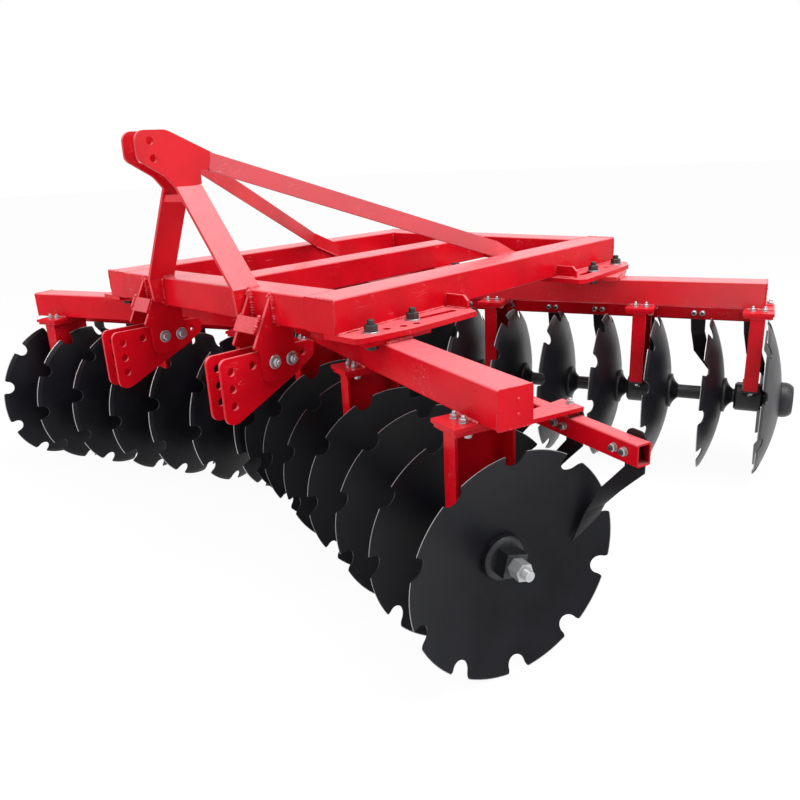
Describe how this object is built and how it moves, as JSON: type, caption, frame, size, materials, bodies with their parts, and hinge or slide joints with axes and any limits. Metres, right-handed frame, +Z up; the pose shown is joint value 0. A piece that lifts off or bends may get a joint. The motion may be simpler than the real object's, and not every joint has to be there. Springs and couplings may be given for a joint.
{
  "type": "disc harrow",
  "caption": "Mounted disc harrow: a welded tube frame with a three-point mast carries gangs of notched dished discs set in an X, each with scrapers behind it.",
  "frame": {"origin": "on the floor under the centre of the machine's bounding box", "axes": "+X to the machine's right-hand side as seen in the picture from the front, across its working width; +Y to the rear, away from the tractor; +Z up"},
  "size_m": [3.3466, 2.4051, 1.5017],
  "materials": {
    "red_paint": "gloss",
    "black_disc": "satin",
    "black_iron": "satin",
    "scraper_steel": "satin",
    "axle_steel": "satin"
  },
  "bodies": {
    "frame": {"centre_beam": "red_paint", "front_beam_left": "red_paint", "front_beam_right": "red_paint", "front_bearings_left": "black_iron", "front_bearings_right": "black_iron", "front_crossbeam": "red_paint", "front_hangers_left": "red_paint", "front_hangers_right": "red_paint", "front_mount_plate_left": "red_paint", "front_mount_plate_right": "red_paint", "front_pivot_plate": "red_paint", "front_scraper_bar_left": "red_paint", "front_scraper_bar_right": "red_paint", "front_scrapers_left": "scraper_steel", "front_scrapers_right": "scraper_steel", "hitch_bracket_left": "red_paint", "hitch_bracket_right": "red_paint", "hitch_plates_left": "red_paint", "hitch_plates_right": "red_paint", "mast_brace_left": "red_paint", "mast_brace_right": "red_paint", "mast_cross_plate": "red_paint", "mast_side_left": "red_paint", "mast_side_right": "red_paint", "rear_beam_left": "red_paint", "rear_beam_right": "red_paint", "rear_bearings_left": "black_iron", "rear_bearings_right": "black_iron", "rear_crossbeam": "red_paint", "rear_hangers_left": "red_paint", "rear_hangers_right": "red_paint", "rear_mount_plate_left": "red_paint", "rear_mount_plate_right": "red_paint", "rear_pivot_plate": "red_paint", "rear_scraper_bar_left": "red_paint", "rear_scraper_bar_right": "red_paint", "rear_scrapers_left": "scraper_steel", "rear_scrapers_right": "scraper_steel", "side_beam_left": "red_paint", "side_beam_right": "red_paint"},
    "front_gang_right": {"front_discs_right": "black_disc", "front_spools_right": "black_iron", "front_axle_right": "axle_steel"},
    "front_gang_left": {"front_discs_left": "black_disc", "front_spools_left": "black_iron", "front_axle_left": "axle_steel"},
    "rear_gang_right": {"rear_discs_right": "black_disc", "rear_spools_right": "black_iron", "rear_axle_right": "axle_steel"},
    "rear_gang_left": {"rear_discs_left": "black_disc", "rear_spools_left": "black_iron", "rear_axle_left": "axle_steel"}
  },
  "joints": [
    {"name": "front_gang_right_turn", "type": "hinge", "parent": "frame", "child": "front_gang_right", "pos_m": [0.6, -0.617, 0.33], "axis": [0.9472, -0.3206, 0], "continuous": true},
    {"name": "front_gang_left_turn", "type": "hinge", "parent": "frame", "child": "front_gang_left", "pos_m": [-0.6, -0.617, 0.33], "axis": [0.9472, 0.3206, 0], "continuous": true},
    {"name": "rear_gang_right_turn", "type": "hinge", "parent": "frame", "child": "rear_gang_right", "pos_m": [0.6, 0.627, 0.33], "axis": [0.9563, 0.2924, 0], "continuous": true},
    {"name": "rear_gang_left_turn", "type": "hinge", "parent": "frame", "child": "rear_gang_left", "pos_m": [-0.6, 0.627, 0.33], "axis": [0.9563, -0.2924, 0], "continuous": true}
  ]
}
